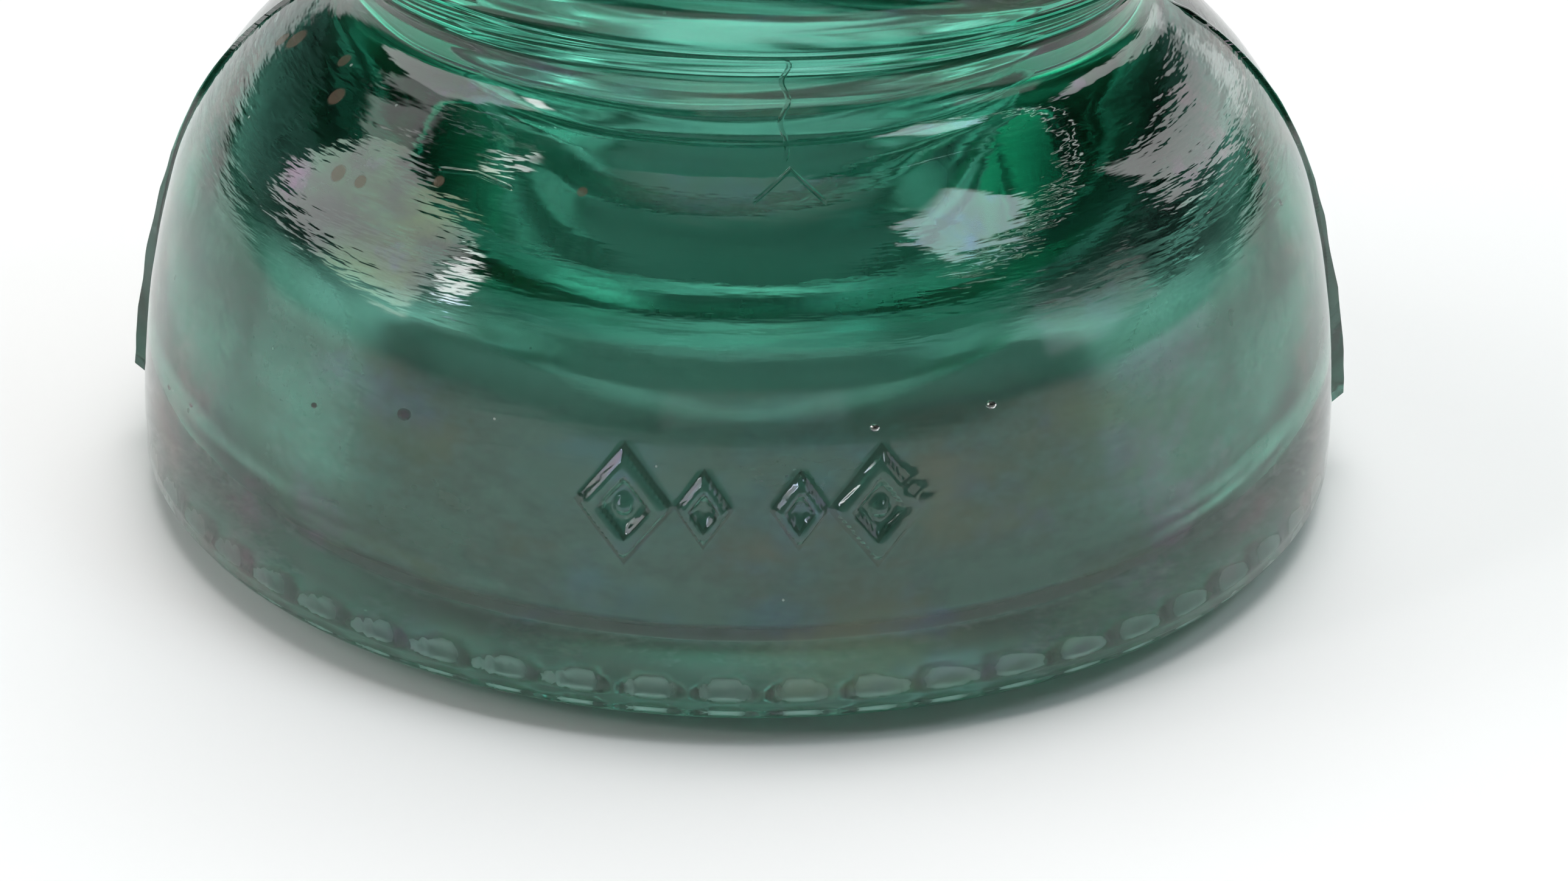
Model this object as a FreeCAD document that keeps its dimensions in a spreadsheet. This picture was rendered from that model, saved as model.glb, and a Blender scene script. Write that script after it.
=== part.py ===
"""Pressed-glass pin insulator with a hoop skirt: one piece of glass, millimetres, +Z up.

The origin is on the axis, at the height of the drip points that the insulator stands on.
"""
import FreeCAD, Part
import math
import os
import Sketcher

SIZES = {
    # skirt and shoulder
    "rim_radius": 46.0,
    "rim_height": 2.9,
    "rim_round": 1.4,
    "rim_step": 0.3,
    "skirt_draw_in": 3.2,
    "skirt_top_height": 24.5,
    "skirt_bow": 66.0,
    "shoulder_radius": 31.2,
    "shoulder_height": 37.7,
    "shoulder_bow": 25.0,
    # neck and collar above the shoulder
    "neck_radius": 29.3,
    "neck_height": 41.0,
    "neck_bow": 4.0,
    "collar_radius": 31.0,
    "collar_height": 44.3,
    "collar_width": 6.3,
    "collar_bow": 3.5,
    # wire groove and dome
    "groove_width": 13.6,
    "groove_bow": 7.2,
    "ridge_radius": 28.8,
    "ridge_width": 4.0,
    "ridge_bow": 5.0,
    "dome_radius": 29.3,
    "dome_shoulder_radius": 27.6,
    "dome_shoulder_height": 82.0,
    "dome_side_bow": 35.0,
    "overall_height": 101.6,
    # ring-shaped hollow between the two petticoats
    "rim_wall": 14.0,
    "mouth_height": 3.3,
    "hollow_draw_in": 1.2,
    "hollow_height": 19.5,
    "hollow_roof_bow": 5.4,
    "petticoat_radius": 20.6,
    "petticoat_height": 11.0,
    "petticoat_round": 2.4,
    # threaded hole for the pin
    "lead_radius": 14.6,
    "lead_length": 8.0,
    "lead_slope": 1.5,
    "thread_low_radius": 13.1,
    "thread_top_radius": 11.8,
    "thread_length": 42.0,
    "thread_pitch": 6.35,
    "thread_depth": 1.3,
    "thread_bite": 0.5,
    "thread_foot": 4.8,
    "thread_land": 1.1,
    "hole_end_rise": 4.0,
    # drip points under the rim
    "drip_inset": 5.0,
    "drip_radius": 2.5,
    "drip_count": 51,
    # mould seams, two fins that stand highest at their foot
    "seam_foot_height": 5.0,
    "seam_foot_rise": 1.4,
    "seam_rise": 0.4,
    "seam_angle": 0.6,
    "seam_core_radius": 22.0,
    # raised ornament on the front: a pair of large lozenges, a small pair between them
    "ornament_height": 17.6,
    "ornament_shift": 1.6,
    "ornament_rise": 0.7,
    "ornament_depth": 10.0,
    "large_lozenge_wide": 6.2,
    "large_lozenge_tall": 7.6,
    "large_lozenge_spacing": 17.0,
    "small_lozenge_wide": 3.6,
    "small_lozenge_tall": 5.0,
    "small_lozenge_spacing": 6.4,
    "lozenge_hole_share": 0.54,
    "bead_radius": 0.6,
}

doc = FreeCAD.newDocument("insulator")
sheet = doc.addObject("Spreadsheet::Sheet", "Sizes")
for row, (name, value) in enumerate(SIZES.items(), 1):
    sheet.set(f"A{row}", name)
    sheet.set(f"B{row}", str(value))
    sheet.setAlias(f"B{row}", name)
doc.recompute()


def cell(expression):
    """The expression with each size's name pointing at its cell of the sheet."""
    words = []
    for word in expression.split():
        words.append("Sizes." + word if word in SIZES else word)
    return " ".join(words)


def number(expression):
    """What an expression on the sizes comes to."""
    return float(sheet.evalExpression(cell(expression)))


def origin_plane(body, role):
    return next(f for f in body.Origin.OriginFeatures if f.Role == role)


def new_sketch(body, name, role="XZ_Plane"):
    sketch = body.newObject("Sketcher::SketchObject", name)
    sketch.AttachmentSupport = [(origin_plane(body, role), "")]
    sketch.MapMode = "FlatFace"
    return sketch


def arc_between(start, end, radius, side):
    """The short arc of a radius from start to end, bowed to its left or right."""
    chord = end - start
    across = FreeCAD.Vector(chord.y, -chord.x, 0).normalize()
    rise = radius - math.sqrt(radius**2 - (chord.Length / 2) ** 2)
    if side == "left":
        rise = -rise
    return Part.Arc(start, (start + end) * 0.5 + across * rise, end)


def place(sketch, geo, point, across, up):
    """Ties a point of the sketch to where two expressions say."""
    for kind, axis, expression in (("DistanceX", -2, across), ("DistanceY", -1, up)):
        value = number(expression)
        if value == 0:
            sketch.addConstraint(Sketcher.Constraint("PointOnObject", geo, point, axis))
            continue
        bound = sketch.addConstraint(Sketcher.Constraint(kind, -1, 1, geo, point, value))
        sketch.setExpression(f"Constraints[{bound}]", cell(expression))


def size_radius(sketch, geo, radius):
    bound = sketch.addConstraint(Sketcher.Constraint("Radius", geo, number(radius)))
    sketch.setExpression(f"Constraints[{bound}]", cell(radius))


def outline(sketch, steps):
    """Draws a closed outline. Each step is a corner, as two expressions, and what leads on to
    the next corner: None for a line, or an arc's radius and the side that it bows to."""
    corners = [FreeCAD.Vector(number(x), number(y), 0) for x, y, _ in steps]
    ends = []
    for i, (_, _, bow) in enumerate(steps):
        start = corners[i]
        end = corners[(i + 1) % len(steps)]
        if bow is None:
            index = sketch.addGeometry(Part.LineSegment(start, end), False)
            ends.append((index, 1, 2))
            continue
        radius, side = bow
        index = sketch.addGeometry(arc_between(start, end, number(radius), side), False)
        size_radius(sketch, index, radius)
        # a sketch counts every arc anticlockwise, so one that bows left starts at its far end
        ends.append((index, 1, 2) if side == "right" else (index, 2, 1))
    for i, (x, y, _) in enumerate(steps):
        geo, first, _ = ends[i]
        before, _, last = ends[i - 1]
        sketch.addConstraint(Sketcher.Constraint("Coincident", before, last, geo, first))
        place(sketch, geo, first, x, y)


def turned(body, kind, name, sketch, angle=360.0):
    """A Revolution or a Groove of a sketch about the axis."""
    feature = body.newObject(f"PartDesign::{kind}", name)
    feature.Profile = sketch
    feature.ReferenceAxis = (sketch, ["V_Axis"])
    feature.Angle = angle
    return feature


def repeated(body, name, feature, count):
    """Copies of a feature, evenly round the axis."""
    pattern = body.newObject("PartDesign::PolarPattern", name)
    pattern.Originals = [feature]
    pattern.Axis = (next(f for f in body.Origin.OriginFeatures if f.Role == "Z_Axis"), [""])
    pattern.Angle = 360
    pattern.setExpression("Occurrences", cell(count))
    body.Tip = pattern
    return pattern


def cap_radius(width, rise):
    """The radius of a round cap on the axis, of a half width and a height."""
    return f"( {width} * {width} + {rise} * {rise} ) / ( 2 * {rise} )"


def raised(size, rise):
    return size if rise is None else f"{size} + {rise}"


def side_steps(foot_rise=None, rise=None, foot="rim_height"):
    """The outside from a foot on the skirt to the dome's shoulder. The foot and what is above it
    can each be raised by a height, for a seam or an ornament that stands proud."""
    groove_low = "collar_height + collar_width"
    groove_top = f"{groove_low} + groove_width"
    return [
        (raised("rim_radius", foot_rise), foot, ("skirt_bow", "right")),
        (raised("rim_radius - skirt_draw_in", rise), "skirt_top_height", ("shoulder_bow", "right")),
        (raised("shoulder_radius", rise), "shoulder_height", ("neck_bow", "left")),
        (raised("neck_radius", rise), "neck_height", ("neck_bow", "left")),
        (raised("collar_radius", rise), "collar_height", ("collar_bow", "right")),
        (raised("collar_radius", rise), groove_low, ("groove_bow", "left")),
        (raised("ridge_radius", rise), groove_top, ("ridge_bow", "right")),
        (raised("dome_radius", rise), f"{groove_top} + ridge_width", ("dome_side_bow", "right")),
    ]


def make_outside(glass):
    """The solid outside: base, rim, skirt, shoulder, neck, collar, wire groove and dome."""
    sketch = new_sketch(glass, "OutsideSketch")
    crown_bow = cap_radius("dome_shoulder_radius", "( overall_height - dome_shoulder_height )")
    crown = [
        ("dome_shoulder_radius", "dome_shoulder_height", (crown_bow, "right")),
        ("0", "overall_height", None),
        ("0", "mouth_height", None),
    ]
    base = [
        ("rim_radius - rim_wall", "mouth_height", None),
        ("rim_radius - rim_step - rim_round", "rim_height - rim_round", ("rim_round", "right")),
        ("rim_radius - rim_step", "rim_height", None),
    ]
    outline(sketch, side_steps() + crown + base)
    return turned(glass, "Revolution", "Outside", sketch)


def make_seams(glass):
    """The two fins that the halves of the mould leave, opposite each other."""
    for name, plane_turn in (("RightSeam", 0), ("LeftSeam", 180)):
        sketch = new_sketch(glass, f"{name}Sketch")
        turn = FreeCAD.Rotation(FreeCAD.Vector(0, 1, 0), plane_turn)
        sketch.AttachmentOffset = FreeCAD.Placement(FreeCAD.Vector(), turn)
        core = [
            ("dome_shoulder_radius", "dome_shoulder_height", None),
            ("seam_core_radius", "dome_shoulder_height", None),
            ("seam_core_radius", "seam_foot_height", None),
        ]
        outline(sketch, side_steps("seam_foot_rise", "seam_rise", "seam_foot_height") + core)
        seam = turned(glass, "Revolution", name, sketch)
        seam.setExpression("Angle", cell("seam_angle"))
        seam.Midplane = True


def make_drips(glass):
    """The ring of round drip points that the insulator stands on."""
    drip = glass.newObject("PartDesign::AdditiveSphere", "Drip")
    drip.AttachmentSupport = [(origin_plane(glass, "XY_Plane"), "")]
    drip.MapMode = "FlatFace"
    drip.setExpression("Radius", cell("drip_radius"))
    drip.setExpression(".AttachmentOffset.Base.y", cell("drip_inset - rim_radius"))
    drip.setExpression(".AttachmentOffset.Base.z", cell("drip_radius"))
    return repeated(glass, "Drips", drip, "drip_count")


def make_hollow(glass):
    """The space under the glass: open below the inner petticoat and ring-shaped round it."""
    sketch = new_sketch(glass, "HollowSketch")
    lip = "petticoat_height + petticoat_round"
    steps = [
        ("0", "0", None),
        ("rim_radius - rim_wall", "0", None),
        ("rim_radius - rim_wall", "mouth_height", None),
        ("rim_radius - rim_wall - hollow_draw_in", "hollow_height", ("hollow_roof_bow", "right")),
        ("petticoat_radius", "hollow_height", None),
        ("petticoat_radius", lip, ("petticoat_round", "left")),
        ("petticoat_radius - petticoat_round", "petticoat_height", None),
        ("0", "petticoat_height", None),
    ]
    outline(sketch, steps)
    return turned(glass, "Groove", "Hollow", sketch)


def make_pin_hole(glass):
    """A plain lead-in, a cone for the thread and a domed end, then the helical thread."""
    sketch = new_sketch(glass, "PinHoleSketch")
    lead_end = "petticoat_height + lead_length"
    low = f"{lead_end} + lead_slope"
    top = f"{low} + thread_length"
    steps = [
        ("0", "petticoat_height", None),
        ("lead_radius", "petticoat_height", None),
        ("lead_radius", lead_end, None),
        ("thread_low_radius", low, None),
        ("thread_top_radius", top, (cap_radius("thread_top_radius", "hole_end_rise"), "right")),
        ("0", f"{top} + hole_end_rise", None),
    ]
    outline(sketch, steps)
    hole = turned(glass, "Groove", "PinHole", sketch)
    doc.recompute()

    sketch = new_sketch(glass, "ThreadSketch")
    start = f"{lead_end} - lead_slope"
    inner = "thread_low_radius - thread_bite"
    outer = "thread_low_radius + thread_depth"
    steps = [
        (inner, f"{start} - thread_foot / 2", None),
        (outer, f"{start} - thread_land / 2", None),
        (outer, f"{start} + thread_land / 2", None),
        (inner, f"{start} + thread_foot / 2", None),
    ]
    outline(sketch, steps)
    thread = glass.newObject("PartDesign::SubtractiveHelix", "Thread")
    thread.Profile = sketch
    thread.ReferenceAxis = (sketch, ["V_Axis"])
    thread.Mode = 0
    thread.setExpression("Pitch", cell("thread_pitch"))
    thread.setExpression("Height", cell("thread_length"))
    taper = "atan( ( thread_top_radius - thread_low_radius ) / thread_length )"
    thread.setExpression("Angle", cell(taper))
    return hole, thread


def lozenge(sketch, middle, wide, tall):
    level = "ornament_height"
    steps = [
        (f"{middle} + {wide} / 2", level, None),
        (middle, f"{level} + {tall} / 2", None),
        (f"{middle} - {wide} / 2", level, None),
        (middle, f"{level} - {tall} / 2", None),
    ]
    outline(sketch, steps)


def bead(sketch, middle):
    centre = FreeCAD.Vector(number(middle), number("ornament_height"), 0)
    up = FreeCAD.Vector(0, 0, 1)
    index = sketch.addGeometry(Part.Circle(centre, up, number("bead_radius")), False)
    size_radius(sketch, index, "bead_radius")
    place(sketch, index, 3, middle, "ornament_height")


def make_ornament():
    """The raised ornament: its outline drawn on a flat plane, and cut to the skirt's curve."""
    pattern = doc.addObject("PartDesign::Body", "Pattern")
    sketch = new_sketch(pattern, "PatternSketch")
    sketch.setExpression(".AttachmentOffset.Base.z", cell("rim_radius - ornament_depth"))
    for side in (-1, 1):
        for size in ("large", "small"):
            middle = f"ornament_shift + {side} * {size}_lozenge_spacing / 2"
            wide = f"{size}_lozenge_wide"
            tall = f"{size}_lozenge_tall"
            lozenge(sketch, middle, wide, tall)
            lozenge(sketch, middle, f"lozenge_hole_share * {wide}", f"lozenge_hole_share * {tall}")
        bead(sketch, f"ornament_shift + {side} * large_lozenge_spacing / 2")
    pad = pattern.newObject("PartDesign::Pad", "PatternPad")
    pad.Profile = sketch
    pad.setExpression("Length", cell("rim_radius"))

    raised_skirt = doc.addObject("PartDesign::Body", "RaisedSkirt")
    sketch = new_sketch(raised_skirt, "RaisedSkirtSketch")
    core = [
        ("dome_shoulder_radius", "dome_shoulder_height", None),
        ("0", "dome_shoulder_height", None),
        ("0", "rim_height", None),
    ]
    outline(sketch, side_steps("ornament_rise", "ornament_rise") + core)
    turned(raised_skirt, "Revolution", "RaisedSkirtSolid", sketch)
    ornament = doc.addObject("Part::Common", "Ornament")
    ornament.Base = raised_skirt
    ornament.Tool = pattern
    return ornament


def failed_objects():
    names = []
    for item in doc.Objects:
        if "Invalid" in item.State or "Error" in item.State:
            names.append(item.Name)
    return names


glass = doc.addObject("PartDesign::Body", "Glass")
make_outside(glass)
make_seams(glass)
make_drips(glass)
make_hollow(glass)
make_pin_hole(glass)
insulator = doc.addObject("Part::MultiFuse", "Insulator")
insulator.Shapes = [glass, make_ornament()]
insulator.Label = "glass_body"
insulator.Placement = FreeCAD.Placement()
doc.recompute()

if failed_objects():
    raise RuntimeError(f"features that failed: {failed_objects()}")
if insulator.Shape.isNull() or not insulator.Shape.isValid() or len(insulator.Shape.Solids) != 1:
    raise RuntimeError("the glass is not one valid solid")
os.makedirs("parts", exist_ok=True)
insulator.Shape.exportStep(f"parts/{insulator.Label}.step")
box = insulator.Shape.BoundBox
sizes = " x ".join(f"{length:.1f}" for length in (box.XLength, box.YLength, box.ZLength))
print(f"glass volume {insulator.Shape.Volume:.0f} cubic mm, size {sizes} mm")
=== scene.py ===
"""Looks of the pressed-glass pin insulator: the glass with its thread, drip points, mould fins,
raised ornament, chill ripples and weathering film, on a pale table."""
import math
import random
from types import SimpleNamespace

import bpy
from mathutils import Matrix, Vector, noise


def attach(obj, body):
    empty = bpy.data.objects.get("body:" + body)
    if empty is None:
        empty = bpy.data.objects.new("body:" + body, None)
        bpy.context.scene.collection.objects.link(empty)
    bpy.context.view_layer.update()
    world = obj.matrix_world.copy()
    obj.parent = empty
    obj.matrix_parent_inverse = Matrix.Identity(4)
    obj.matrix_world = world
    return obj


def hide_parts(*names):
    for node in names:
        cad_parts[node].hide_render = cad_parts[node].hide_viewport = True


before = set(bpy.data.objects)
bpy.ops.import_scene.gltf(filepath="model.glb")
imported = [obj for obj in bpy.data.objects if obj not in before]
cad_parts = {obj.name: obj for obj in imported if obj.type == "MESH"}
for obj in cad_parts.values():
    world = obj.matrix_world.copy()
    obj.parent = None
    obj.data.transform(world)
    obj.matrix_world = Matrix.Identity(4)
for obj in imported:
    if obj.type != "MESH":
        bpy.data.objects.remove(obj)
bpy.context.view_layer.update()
bpy.ops.object.select_all(action="DESELECT")

MM = 0.001

# ---------------------------------------------------------------- sizes, millimetres

# corners of the outside, as radius and height
RIM = (46.0, 2.9)
SKIRT_TOP = (42.8, 24.5)
SHOULDER_TOP = (31.2, 37.7)
NECK = (29.3, 41.0)
COLLAR_FOOT = (31.0, 44.3)
COLLAR_TOP = (31.0, 50.6)
GROOVE_TOP = (28.8, 64.2)
RIDGE_TOP = (29.3, 68.2)
DOME_SHOULDER = (27.6, 82.0)
CROWN = (0.0, 101.6)

# corners of the underside, the hollow and the pin hole
RIM_STEP = (45.7, 2.9)
RIM_FOOT = (44.3, 1.5)
DRIPS_OUTER_EDGE = (43.6, 1.6)
DRIPS_INNER_EDGE = (38.4, 2.36)
MOUTH = (32.0, 3.3)
HOLLOW_OUTER_TOP = (30.8, 19.5)
HOLLOW_INNER_TOP = (20.6, 19.5)
PETTICOAT_SIDE = (20.6, 13.4)
PETTICOAT_LIP = (18.2, 11.0)
LEAD_MOUTH = (14.6, 11.0)
LEAD_END = (14.6, 19.0)
THREAD_LOW = (13.1, 20.5)
THREAD_TOP = (11.8, 62.5)
HOLE_END = (0.0, 66.5)

BLEND_RADIUS = 4.0  # of the two arcs into and out of the neck

THREAD_PITCH = 6.35
THREAD_DEPTH = 1.3
THREAD_START = 17.5
THREAD_END = 59.5
DRIP_RING_RADIUS = 41.0
DRIP_RADIUS = 2.5
DRIP_COUNT = 51
FRONT = -math.pi / 2
FIN_HALF_WIDTH = 0.25
FIN_FOOT = 4.8
FIN_RISE = 0.4
FIN_TAPER = 19.5  # going down the skirt, the fin stands out 1 mm more over this height
ORNAMENT_HEIGHT = 17.6
ORNAMENT_SHIFT = 1.6
ORNAMENT_RISE = 0.7
ORNAMENT_REACH = 4.3
HOLE_SHARE = 0.54
# middle, width and height of the ornament's large and small lozenges
LOZENGES = ((8.5, 6.2, 7.6), (3.2, 3.6, 5.0))

# sectors of the turn, clockwise from above and from beside the right fin: degrees and steps,
# finer at what stands proud
FIN_SECTOR = (2.08, 10)
SECTORS = [FIN_SECTOR, (73.92, 80), (30.0, 76), (74.0, 80), FIN_SECTOR, (177.92, 130)]

# air bubbles that show at the front, and then the ring in which the others lie at random
FRONT_SEEDS = [
    ((-21.5, -33.5, 18.8), 0.42),
    ((9.6, -43.0, 23.2), 0.26),
    ((17.4, -39.6, 23.4), 0.3),
]
OTHER_SEEDS = 9

# brown stains on the shoulder: place and size
RUST_SPOTS = [
    ((-32.5, -8.8, 36.2), 1.3),
    ((-33.7, -7.4, 35.6), 0.9),
    ((-28.4, -18.8, 35.9), 1.0),
    ((-28.2, -15.3, 37.2), 0.8),
    ((-27.6, -25.4, 32.9), 0.9),
    ((-25.9, -27.0, 33.0), 0.7),
    ((-20.2, -29.7, 34.3), 0.6),
    ((-10.3, -33.2, 35.4), 0.5),
]


# ---------------------------------------------------------------- outline


def arc(start, end, radius, side, count):
    """Points from start up to end, on the short arc that bows to a side of the way along it."""
    start, end = Vector(start), Vector(end)
    chord = end - start
    across = Vector((chord.y, -chord.x)).normalized()
    if side == "left":
        across = -across
    centre = (start + end) / 2 - across * math.sqrt(radius**2 - (chord.length / 2) ** 2)
    first, last = start - centre, end - centre
    turn = first.angle_signed(last)
    return [centre + Matrix.Rotation(-turn * i / count, 2) @ first for i in range(count)]


def line(start, end, count):
    return [Vector(start).lerp(Vector(end), i / count) for i in range(count)]


def cap_radius(width, rise):
    """Radius of a cap whose centre is on the axis."""
    return (width**2 + rise**2) / (2 * rise)


def outer_side():
    """The outside from the rim's parting line up to the crown."""
    skirt = arc(RIM, SKIRT_TOP, 66.0, "right", 72)
    low, high = ORNAMENT_HEIGHT - ORNAMENT_REACH, ORNAMENT_HEIGHT + ORNAMENT_REACH
    skirt = [point for i, point in enumerate(skirt) if i % 4 == 0 or low < point.y < high]
    dome_radius = cap_radius(DOME_SHOULDER[0], CROWN[1] - DOME_SHOULDER[1])
    return (
        skirt
        + arc(SKIRT_TOP, SHOULDER_TOP, 25.0, "right", 22)
        + arc(SHOULDER_TOP, NECK, BLEND_RADIUS, "left", 6)
        + arc(NECK, COLLAR_FOOT, BLEND_RADIUS, "left", 6)
        + arc(COLLAR_FOOT, COLLAR_TOP, 3.5, "right", 12)
        + arc(COLLAR_TOP, GROOVE_TOP, 7.2, "left", 10)
        + arc(GROOVE_TOP, RIDGE_TOP, 5.0, "right", 6)
        + arc(RIDGE_TOP, DOME_SHOULDER, 35.0, "right", 5)
        + arc(DOME_SHOULDER, CROWN, dome_radius, "right", 14)
        + [Vector(CROWN)]
    )


def inner_side():
    """From the rim's parting line under the skirt, up into the hollow, round the petticoat's lip
    and up the pin hole to its domed end."""
    end_radius = cap_radius(THREAD_TOP[0], HOLE_END[1] - THREAD_TOP[1])
    return (
        line(RIM, RIM_STEP, 2)
        + arc(RIM_STEP, RIM_FOOT, 1.4, "left", 5)
        + line(RIM_FOOT, DRIPS_OUTER_EDGE, 2)
        + line(DRIPS_OUTER_EDGE, DRIPS_INNER_EDGE, 11)
        + line(DRIPS_INNER_EDGE, MOUTH, 5)
        + line(MOUTH, HOLLOW_OUTER_TOP, 5)
        + arc(HOLLOW_OUTER_TOP, HOLLOW_INNER_TOP, 5.4, "right", 11)
        + line(HOLLOW_INNER_TOP, PETTICOAT_SIDE, 4)
        + arc(PETTICOAT_SIDE, PETTICOAT_LIP, 2.4, "left", 6)
        + line(PETTICOAT_LIP, LEAD_MOUTH, 3)
        + line(LEAD_MOUTH, LEAD_END, 8)
        + line(LEAD_END, THREAD_LOW, 3)
        + line(THREAD_LOW, THREAD_TOP, 44)
        + arc(THREAD_TOP, HOLE_END, end_radius, "right", 10)
        + [Vector(HOLE_END)]
    )


def turned_glass():
    """A vertex drawn out along the outline, from the crown round to the hole's end, and spun
    round the axis."""
    bpy.ops.mesh.primitive_plane_add(size=MM, location=(0, 0, 0))
    glass = bpy.context.active_object
    bpy.ops.object.mode_set(mode="EDIT")
    bpy.ops.mesh.select_all(action="SELECT")
    bpy.ops.mesh.merge(type="CENTER")
    here = Vector((CROWN[0], 0, CROWN[1])) * MM
    bpy.ops.transform.translate(value=here)
    for point in list(reversed(outer_side()))[1:] + inner_side()[1:]:
        there = Vector((point.x, 0, point.y)) * MM
        bpy.ops.mesh.extrude_region_move(TRANSFORM_OT_translate={"value": there - here})
        here = there
    bpy.ops.object.mode_set(mode="OBJECT")
    glass.data.transform(Matrix.Rotation(math.radians(FIN_SECTOR[0] / 2), 4, "Z"))
    bpy.ops.object.mode_set(mode="EDIT")
    bpy.ops.mesh.select_all(action="SELECT")
    for degrees, steps in SECTORS:
        bpy.ops.mesh.spin(
            steps=steps, angle=math.radians(degrees), center=(0, 0, 0), axis=(0, 0, 1)
        )
    bpy.ops.mesh.select_all(action="SELECT")
    bpy.ops.mesh.remove_doubles(threshold=0.002 * MM)
    bpy.ops.mesh.normals_make_consistent(inside=False)
    bpy.ops.object.mode_set(mode="OBJECT")
    glass.name = "glass_surface"
    return glass


# ---------------------------------------------------------------- relief of the glass


def smooth(edge_low, edge_high, value):
    t = min(max((value - edge_low) / (edge_high - edge_low), 0.0), 1.0)
    return t * t * (3 - 2 * t)


def lozenge(across, up, wide, tall):
    """How deep inside a lozenge a point is, in millimetres."""
    share = 1 - abs(across) / (wide / 2) - abs(up) / (tall / 2)
    return share * (wide / 2) * (tall / 2) / math.hypot(wide / 2, tall / 2)


def ornament(across, up):
    """Height of the ornament: large lozenges with a bead each, and small ones between them."""
    rise = 0.0
    for middle, wide, tall in LOZENGES:
        near = abs(across) - middle
        ring = smooth(-0.12, 0.3, lozenge(near, up, wide, tall))
        hole = smooth(-0.12, 0.3, lozenge(near, up, HOLE_SHARE * wide, HOLE_SHARE * tall))
        rise = max(rise, ring - hole)
    bead = smooth(0.75, 0.35, math.hypot(abs(across) - LOZENGES[0][0], up))
    return max(rise, bead)


def pin_hole_push(point, angle):
    """How far out the pin hole's wall goes: the thread's groove and a slight wave."""
    turn = (point.z - THREAD_START) / THREAD_PITCH - angle / math.tau
    off = abs((turn + 0.5) % 1 - 0.5) * THREAD_PITCH
    groove = smooth(2.3, 0.55, off)
    held = smooth(THREAD_START - 1, THREAD_START + 3, point.z)
    held *= smooth(THREAD_END + 2, THREAD_END - 1, point.z)
    return THREAD_DEPTH * groove * held + 0.12 * noise.noise(point * 0.14)


def drip_height(point, angle):
    """Height of the skirt's underside, with the ring of drip points hanging from it."""
    step = math.tau / DRIP_COUNT
    nearest = FRONT + round((angle - FRONT) / step) * step
    centre = Vector((math.cos(nearest), math.sin(nearest), 0)) * DRIP_RING_RADIUS
    off = (Vector((point.x, point.y, 0)) - centre).length
    if off >= DRIP_RADIUS:
        return point.z
    return min(point.z, DRIP_RADIUS - math.sqrt(DRIP_RADIUS**2 - off**2))


def outside_push(point):
    """How far out the outside goes: slow waves, the mould's fins and the ornament."""
    wave = 0.09 * noise.noise(point * 0.055) + 0.035 * noise.noise(point * 0.16)
    wave *= smooth(RIM[1], 8, point.z)
    rise = 0.0
    if abs(point.y) < FIN_HALF_WIDTH and FIN_FOOT < point.z < DOME_SHOULDER[1]:
        rise = FIN_RISE + max(SKIRT_TOP[1] - point.z, 0) / FIN_TAPER
        rise *= 1 - 0.3 * abs(noise.noise(point * 0.3))
    if point.y < 0 and abs(point.z - ORNAMENT_HEIGHT) < 5:
        rise += ORNAMENT_RISE * ornament(point.x - ORNAMENT_SHIFT, point.z - ORNAMENT_HEIGHT)
    return wave + rise


def hollow_push(point):
    """How far out the hollow's and the petticoat's walls wave."""
    wave = 0.16 * noise.noise(point * 0.1 + Vector((7, 0, 0)))
    return wave * smooth(MOUTH[1], 6, point.z)


def shaped(point):
    """Where a point of the plain turned glass goes, in millimetres."""
    radius = math.hypot(point.x, point.y)
    if radius < 0.01:
        return point
    angle = math.atan2(point.y, point.x)
    out = Vector((point.x, point.y, 0)) / radius
    if radius < 15 and LEAD_MOUTH[1] + 0.1 < point.z < HOLE_END[1] - 0.1:
        return point + out * pin_hole_push(point, angle)
    if point.z < 3.4 and 36 < radius < 45.2:
        return Vector((point.x, point.y, drip_height(point, angle)))
    outside = radius > MOUTH[0] if point.z < 40 else radius > 16
    if outside or point.z > 68:
        return point + out * outside_push(point)
    return point + out * hollow_push(point)


def add_seeds(glass):
    """Small air bubbles left in the glass, their walls facing inwards."""
    random.seed(7)
    places = list(FRONT_SEEDS)
    for _ in range(OTHER_SEEDS):
        turn = random.uniform(0, math.tau)
        radius = random.uniform(35, 40)
        spot = (radius * math.cos(turn), radius * math.sin(turn), random.uniform(7, 24))
        places.append((spot, random.uniform(0.14, 0.3)))
    for spot, radius in places:
        bpy.ops.mesh.primitive_uv_sphere_add(
            segments=14, ring_count=8, radius=radius * MM, location=Vector(spot) * MM
        )
        seed = bpy.context.active_object
        seed.scale.x = 1.25
        bpy.ops.object.transform_apply(location=True, rotation=True, scale=True)
        bpy.ops.object.mode_set(mode="EDIT")
        bpy.ops.mesh.select_all(action="SELECT")
        bpy.ops.mesh.flip_normals()
        bpy.ops.object.mode_set(mode="OBJECT")
        bpy.ops.object.select_all(action="DESELECT")
        seed.select_set(True)
        glass.select_set(True)
        bpy.context.view_layer.objects.active = glass
        bpy.ops.object.join()


# ---------------------------------------------------------------- node helpers


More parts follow.
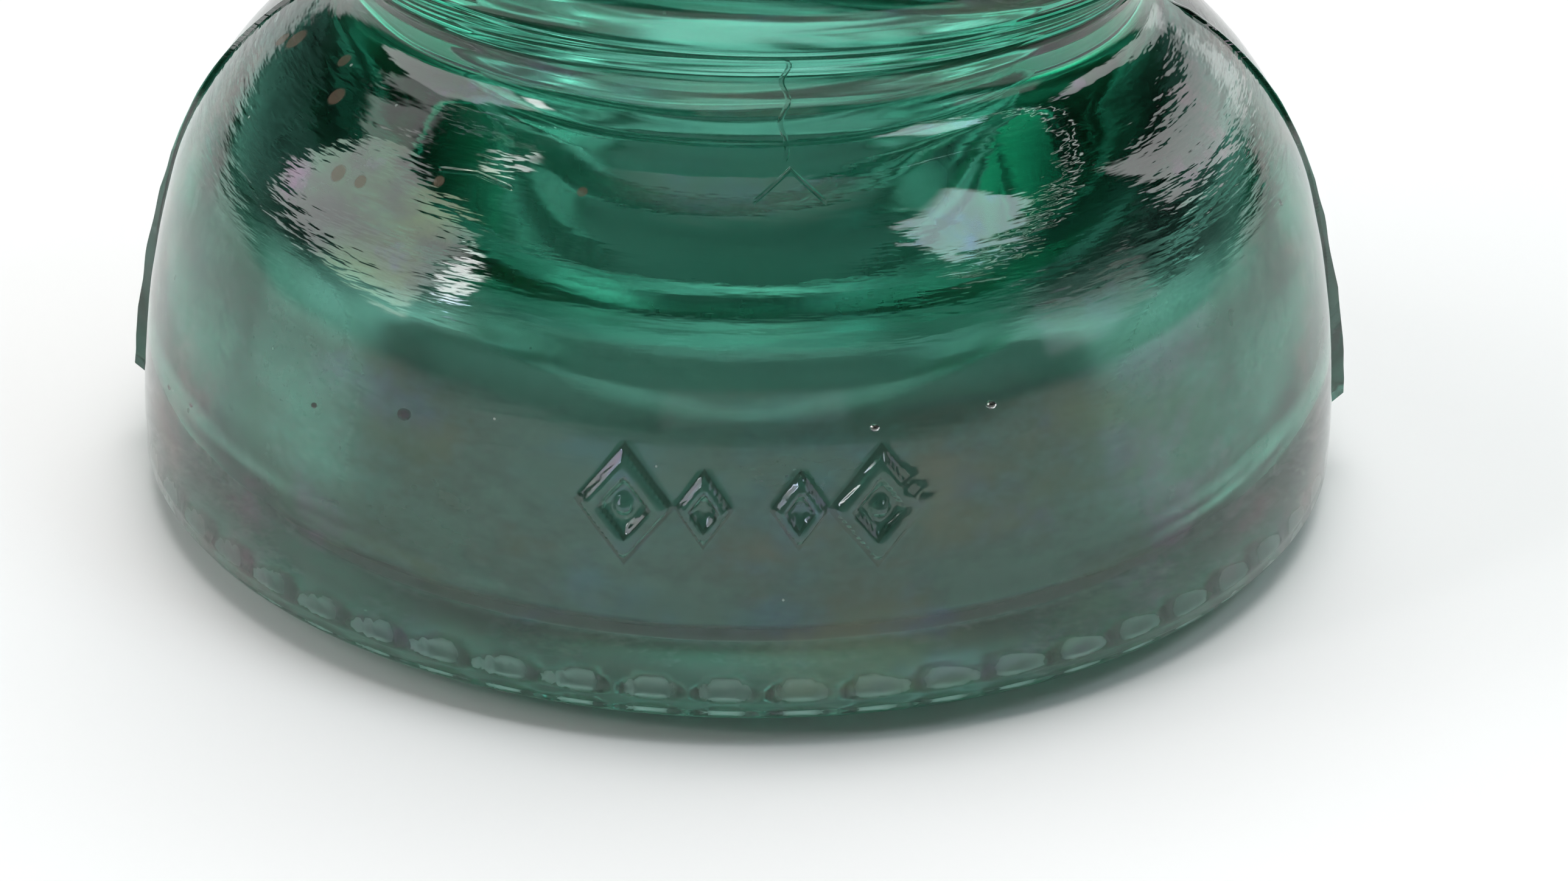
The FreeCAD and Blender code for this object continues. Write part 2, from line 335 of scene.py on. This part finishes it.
class Sock:
    """A node socket with arithmetic; each operator adds a Math node."""

    def __init__(self, tree, socket):
        self.tree = tree
        self.socket = socket

    def math(self, operation, *others):
        node = self.tree.nodes.new("ShaderNodeMath")
        node.operation = operation
        for i, value in enumerate((self,) + others):
            put(self.tree, node.inputs[i], value)
        return Sock(self.tree, node.outputs[0])

    def __add__(self, other):
        return self.math("ADD", other)

    def __radd__(self, other):
        return self.math("ADD", other)

    def __sub__(self, other):
        return self.math("SUBTRACT", other)

    def __rsub__(self, other):
        return as_socket(self.tree, other).math("SUBTRACT", self)

    def __mul__(self, other):
        return self.math("MULTIPLY", other)

    def __rmul__(self, other):
        return self.math("MULTIPLY", other)

    def __truediv__(self, other):
        return self.math("DIVIDE", other)

    def __abs__(self):
        return self.math("ABSOLUTE")

    def step(self, start, end):
        """Smoothly from 0 at start to 1 at end."""
        node = self.tree.nodes.new("ShaderNodeMapRange")
        node.interpolation_type = "SMOOTHSTEP"
        put(self.tree, node.inputs["Value"], self)
        flipped = start > end
        node.inputs["From Min"].default_value = min(start, end)
        node.inputs["From Max"].default_value = max(start, end)
        node.inputs["To Min"].default_value = 1.0 if flipped else 0.0
        node.inputs["To Max"].default_value = 0.0 if flipped else 1.0
        return Sock(self.tree, node.outputs["Result"])

    def band(self, low, high, soft):
        """1 between low and high, with soft edges."""
        return self.step(low - soft, low + soft) * self.step(high + soft, high - soft)


def put(tree, socket, value):
    if isinstance(value, Sock):
        tree.links.new(value.socket, socket)
    elif isinstance(value, (tuple, list)) and len(value) == 3 and socket.type == "RGBA":
        socket.default_value = (*value, 1)
    else:
        socket.default_value = value


def as_socket(tree, value):
    node = tree.nodes.new("ShaderNodeValue")
    node.outputs[0].default_value = value
    return Sock(tree, node.outputs[0])


class Nodes:
    """A node tree to which nodes are added by type, settings and socket values."""

    def __init__(self, owner):
        owner.use_nodes = True
        self.tree = owner.node_tree
        self.tree.nodes.clear()

    def add(self, kind, values=None, output=0, **settings):
        node = self.tree.nodes.new("ShaderNode" + kind)
        for name, value in settings.items():
            setattr(node, name, value)
        for name, value in (values or {}).items():
            put(self.tree, node.inputs[name], value)
        return Sock(self.tree, node.outputs[output])

    def end(self, kind, **values):
        """The tree's output node, World or Material, with its sockets."""
        output = self.tree.nodes.new("ShaderNodeOutput" + kind)
        for name, value in values.items():
            put(self.tree, output.inputs[name], value)

    def mix(self, factor, first, second):
        node = self.tree.nodes.new("ShaderNodeMix")
        node.data_type = "RGBA"
        put(self.tree, node.inputs[0], factor)
        put(self.tree, node.inputs[6], first)
        put(self.tree, node.inputs[7], second)
        return Sock(self.tree, node.outputs[2])

    def split(self, vector):
        node = self.tree.nodes.new("ShaderNodeSeparateXYZ")
        put(self.tree, node.inputs[0], vector)
        return [Sock(self.tree, out) for out in node.outputs]

    def noise(self, vector, scale, detail, rough=0.5):
        values = {"Vector": vector, "Scale": scale, "Detail": detail, "Roughness": rough}
        return self.add("TexNoise", values)

    def stretched(self, vector, scale, move=(0, 0, 0)):
        return self.add("Mapping", {"Vector": vector, "Scale": scale, "Location": move})

    def distance(self, vector, place):
        values = {0: vector, 1: [value * MM for value in place]}
        node = self.add("VectorMath", values, output="Value", operation="DISTANCE")
        return node / MM


# ---------------------------------------------------------------- glass material

CLEAR = (1.0, 1.0, 1.0)
SMOKE = (0.27, 0.145, 0.145)
# near-black painted shade for the shoulder's sides, standing in for the dark room that the glass
# shows there
PAINTED_SHADE = (0.04, 0.03, 0.03)
CHALK = (0.44, 0.52, 0.47)
RUST = (0.13, 0.075, 0.04)
TEAL = (0.37, 0.81, 0.715)
TEAL_DENSITY = 82.0
GLASS_IOR = 1.52
FILM_IOR = 1.7
ROSY_FILM = 430.0  # nanometres
BLUISH_FILM = 350.0


def glass_zones(n, place):
    """Coordinates in millimetres, and masks of the glass's zones from 0 to 1."""
    x, y, z = (value / MM for value in n.split(place))
    around = (x * x + y * y).math("SQRT")
    hollow = around.step(33.2, 32.4) * z.step(28, 26)
    pin_hole = around.step(16.5, 15.5) * z.step(70, 68)
    shoulder = z.band(27.5, 38.5, 1.5)
    return SimpleNamespace(
        x=x,
        y=y,
        z=z,
        around=around,
        inside=hollow.math("MAXIMUM", pin_hole),
        under=around.step(45.2, 44.6) * z.step(3.9, 3.5),
        outer=around.step(38, 40),
        shoulder=shoulder,
        # the shoulder's sides, which get painted shade
        sides=shoulder * abs(x).band(18, 37.5, 4),
    )


def chill_lines(at):
    """Thin lines at the front: a fold down the neck, a peaked line below it and a crack left."""
    wander = (at.z * 2.2).math("SINE") * 0.25
    fold = (at.x - 3.1 - wander).band(-0.14, 0.14, 0.08) * at.z.band(37.4, 44.0, 0.3)
    peak = (at.z - 37.0 + abs(at.x - 3.6) * 0.62).band(-0.10, 0.10, 0.06)
    peak = peak * at.x.band(1.3, 5.9, 0.2)
    crack = (at.z - 35.2 + abs(at.x + 17.6) * 0.12 - wander * 0.3).band(-0.10, 0.10, 0.06)
    crack = crack * at.x.band(-20.2, -15.2, 0.3) * 0.8
    return (fold + peak + crack) * at.y.step(-20, -24)


def chilled_normal(n, place, at, lines):
    """Ripples, long round the glass and short up it, in patches on the shoulder; faint streaks
    and broad waves everywhere; and the chill lines, sunk a little."""
    ripple = n.noise(n.stretched(place, (290, 290, 2200)), 1.0, 2.0)
    streak = n.noise(n.stretched(place, (60, 60, 700)), 1.0, 2.0)
    broad = n.noise(n.stretched(place, (24, 24, 50)), 1.0, 2.0)
    patch = n.noise(place, 55.0, 2.0).step(0.32, 0.52)
    lively = 0.25 + 0.75 * abs(at.x + 2).step(7, 20)
    relief = ripple * (0.07 * at.shoulder * patch * lively + 0.003)
    relief = relief + streak * 0.014 + broad * 0.12 - lines * 0.05
    return n.add("Bump", {"Height": relief, "Distance": MM, "Strength": 1.0})


def ornament_edges(at):
    """The edges of the lozenges, which are darkened."""
    edges = as_socket(at.x.tree, 0.0)
    for middle, wide, tall in LOZENGES:
        off = abs(abs(at.x - ORNAMENT_SHIFT) - middle) / (wide / 2)
        share = 1.0 - off - abs(at.z - ORNAMENT_HEIGHT) / (tall / 2)
        edges = edges + share.band(-0.10, 0.06, 0.05) + share.band(0.42, 0.52, 0.04)
    return edges * at.y.step(0, -4) * at.outer


def smoke_and_shade_tint(n, at, cloud, lines):
    """Brown film on the skirt, in the chill lines, on the drip points' tips and round the
    hollow's mouth, and near-black painted shade on the shoulder's sides."""
    skirt = at.z.band(2.9, 24.8, 1.8) * at.outer * (0.55 + 0.45 * at.z.step(6, 11))
    mouth = at.around.band(31.7, 32.5, 0.15) * at.z.step(4.3, 3.9)
    tips = at.under * at.z.step(1.2, 0.3)
    smoke = skirt * (0.68 + 0.32 * cloud.step(0.38, 0.64)) + ornament_edges(at) * 0.35
    smoke = smoke + lines * 0.45 + mouth * 0.95 + tips * 0.9
    tint = n.mix(smoke.math("MINIMUM", 1.0), CLEAR, SMOKE)
    # painted shade: the shoulder's sides are coloured near-black for the dark surroundings that
    # the glass shows there
    return n.mix(at.sides * 0.97, tint, PAINTED_SHADE)


def chalky_veil(n, place, at, cloud):
    """How much of the surface is pale dust: a thin veil and a few specks."""
    fine = n.noise(place, 900.0, 4.0, 0.7)
    veil = 0.015 + 0.03 * cloud.step(0.35, 0.75) + 0.02 * fine.step(0.45, 0.7)
    veil = veil + 0.01 * at.inside + 0.12 * at.under
    # the veil is kept off the shoulder's sides, where the shade is painted
    veil = veil * (1.0 - 0.95 * at.sides) * (1.0 - 0.75 * at.z.step(23, 28))
    cells = n.add("TexVoronoi", {"Vector": place, "Scale": 260.0})
    chance = n.split(Sock(n.tree, cells.socket.node.outputs["Color"]))[0]
    specks = cells.step(0.045, 0.025) * chance.step(0.72, 0.74)
    return veil + specks * 0.7


def rust_spots(n, place):
    spots = as_socket(n.tree, 0.0)
    for spot, size in RUST_SPOTS:
        near = n.distance(place, spot).step(0.85 * size, 0.6 * size)
        spots = spots.math("MAXIMUM", near)
    return spots * 0.55


def glass_material():
    """Teal glass, with iridescent film in patches, smoke, painted shade on the shoulder's
    sides, dust and a few brown stains.
    """
    material = bpy.data.materials.new("weathered_teal_glass")
    n = Nodes(material)
    place = n.add("TexCoord", output="Object")
    at = glass_zones(n, place)
    lines = chill_lines(at)
    cloud = n.noise(n.stretched(place, (60, 60, 110)), 1.0, 5.0, 0.6)
    other = n.noise(n.stretched(place, (90, 90, 130), (3, 5, 1)), 1.0, 5.0, 0.65)
    haze = 0.02 + 0.08 * cloud.step(0.4, 0.7) * (1.0 - 0.75 * at.z.step(23, 26))
    shared = {
        "Base Color": smoke_and_shade_tint(n, at, cloud, lines),
        "Roughness": haze + at.inside * 0.18 + at.under * 0.32,
        "IOR": GLASS_IOR,
        "Transmission Weight": 1.0,
        "Normal": chilled_normal(n, place, at, lines),
    }

    def coated(thickness):
        film = {"Thin Film Thickness": thickness, "Thin Film IOR": FILM_IOR}
        return n.add("BsdfPrincipled", {**shared, **film})

    rosy = cloud.step(0.5, 0.68) * 0.5
    bluish = other.step(0.5, 0.66) * 0.6
    glass = n.add("MixShader", {0: rosy, 1: coated(0.0), 2: coated(ROSY_FILM)})
    glass = n.add("MixShader", {0: bluish, 1: glass, 2: coated(BLUISH_FILM)})
    chalk = n.add("BsdfPrincipled", {"Base Color": CHALK, "Roughness": 0.7})
    surface = n.add("MixShader", {0: chalky_veil(n, place, at, cloud), 1: glass, 2: chalk})
    rust = n.add("BsdfPrincipled", {"Base Color": RUST, "Roughness": 0.6})
    surface = n.add("MixShader", {0: rust_spots(n, place), 1: surface, 2: rust})
    volume = n.add("VolumeAbsorption", {"Color": TEAL, "Density": TEAL_DENSITY})
    n.end("Material", Surface=surface, Volume=volume)
    return material


# ---------------------------------------------------------------- table and light

TABLE_SIZE = 3.0
WHITE = (1.0, 1.0, 1.0)
PALE_BLUE = (0.72, 0.90, 1.0)

# lit panels that show in the glass: their left, right, low and high edges in degrees, seen from
# the glass with the camera at 0, and their strength
PANELS = [
    (-116, -68, 17, 46, 3.2),
    (-134, -116, 37, 48, 1.5),
    (62, 91, 14, 26, 1.0),
    (-14, 22, 6, 19, 0.4),
    (-109, -101, 58, 65, 9.0),
    (-66, -60, 27, 40, 14.0),
]
BLUE_PANEL = (58, 92, 49, 63)
BLUE_STRENGTH = 6.0


def table_material():
    material = bpy.data.materials.new("white_table")
    n = Nodes(material)
    values = {"Base Color": (0.9, 0.9, 0.895), "Roughness": 0.9, "Specular IOR Level": 0.0}
    n.end("Material", Surface=n.add("BsdfPrincipled", values))
    return material


def room_light(turn, rise, blue):
    """What the glass reflects and lets through: a dim room over a white sweep, lit panels, a
    slanted panel and two thin strips on the right, a ceiling and a bright back wall."""

    def panel(left, right, low, high, soft=1.5):
        return turn.band(left, right, soft) * rise.band(low, high, soft)

    sweep = 4.0 + 10.0 * abs(turn).step(130, 160)
    light = 1.0 - 0.985 * (rise - sweep).step(-2.5, 2.5)
    for left, right, low, high, strength in PANELS:
        light = light + panel(left, right, low, high) * strength
    slanted = (rise - 30 + (turn - 115) * 0.62).band(-7.5, 7.5, 1.2)
    light = light + turn.band(111, 153, 1.5) * slanted * (3.3 - (turn - 112) * 0.06)
    light = light + blue * BLUE_STRENGTH + rise.step(70, 82) * 0.8
    strips = rise.band(44.6, 45.1, 0.25) + rise.band(47.3, 47.6, 0.25)
    light = light + turn.band(57, 131, 2) * strips * 6
    return light + abs(turn).step(160, 168) * rise.band(10, 46, 4) * 1.2


def studio_light():
    """The room as the glass shows it; a soft lamp overhead, a little behind, for the table; and
    an even white for the camera."""
    world = bpy.data.worlds.new("studio_room")
    bpy.context.scene.world = world
    n = Nodes(world)
    x, y, z = n.split(n.add("TexCoord", output="Generated"))
    turn = x.math("ARCTAN2", y * -1.0) * math.degrees(1)
    rise = z.math("ARCSINE") * math.degrees(1)
    left, right, low, high = BLUE_PANEL
    blue = turn.band(left, right, 1.5) * rise.band(low, high, 1.5)
    seen = n.add("LightPath", output="Is Camera Ray")
    on_table = n.add("LightPath", output="Is Diffuse Ray")
    lamp = (0.965 * z + 0.25 * y + 0.06 * x).step(0.88, 0.97)
    grey = room_light(turn, rise, blue) * (1.0 - seen) * (1.0 - on_table)
    grey = grey + (0.08 + 5.5 * lamp) * on_table + seen * 0.97
    colour = n.mix(blue * 0.8, WHITE, PALE_BLUE)
    n.end("World", Surface=n.add("Background", {"Color": colour, "Strength": grey}))


def camera():
    """Looks down at the glass from the front, slightly rolled."""
    data = bpy.data.cameras.new("camera")
    view = bpy.data.objects.new("camera", data)
    bpy.context.scene.collection.objects.link(view)
    down, roll, distance = math.radians(27.40), math.radians(1.42), 300 * MM
    target = Vector((3.62, 0, -0.2)) * MM
    ahead = Vector((0, math.cos(down), -math.sin(down)))
    side = Vector((1, 0, 0))
    top = side.cross(ahead)
    right = side * math.cos(roll) + top * math.sin(roll)
    up = right.cross(ahead)
    turn = Matrix((right, up, -ahead)).transposed().to_4x4()
    view.matrix_world = Matrix.Translation(target - ahead * distance) @ turn
    data.sensor_width = 36.0
    data.lens = 87.15
    data.clip_start = 10 * MM
    bpy.context.scene.camera = view


# ---------------------------------------------------------------- making it

camera()
glass = turned_glass()
for vertex in glass.data.vertices:
    vertex.co = shaped(vertex.co / MM) * MM
bpy.ops.object.shade_smooth()
add_seeds(glass)
glass.data.materials.clear()
glass.data.materials.append(glass_material())
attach(glass, "root")
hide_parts("glass_body")

bpy.ops.object.select_all(action="DESELECT")
bpy.ops.mesh.primitive_plane_add(size=TABLE_SIZE, location=(0, 0, 0))
table = bpy.context.active_object
table.name = "table"
table.data.materials.append(table_material())
studio_light()

scene = bpy.context.scene
scene.view_settings.view_transform = "Standard"
scene.cycles.max_bounces = 18
scene.cycles.transmission_bounces = 16
scene.cycles.glossy_bounces = 12
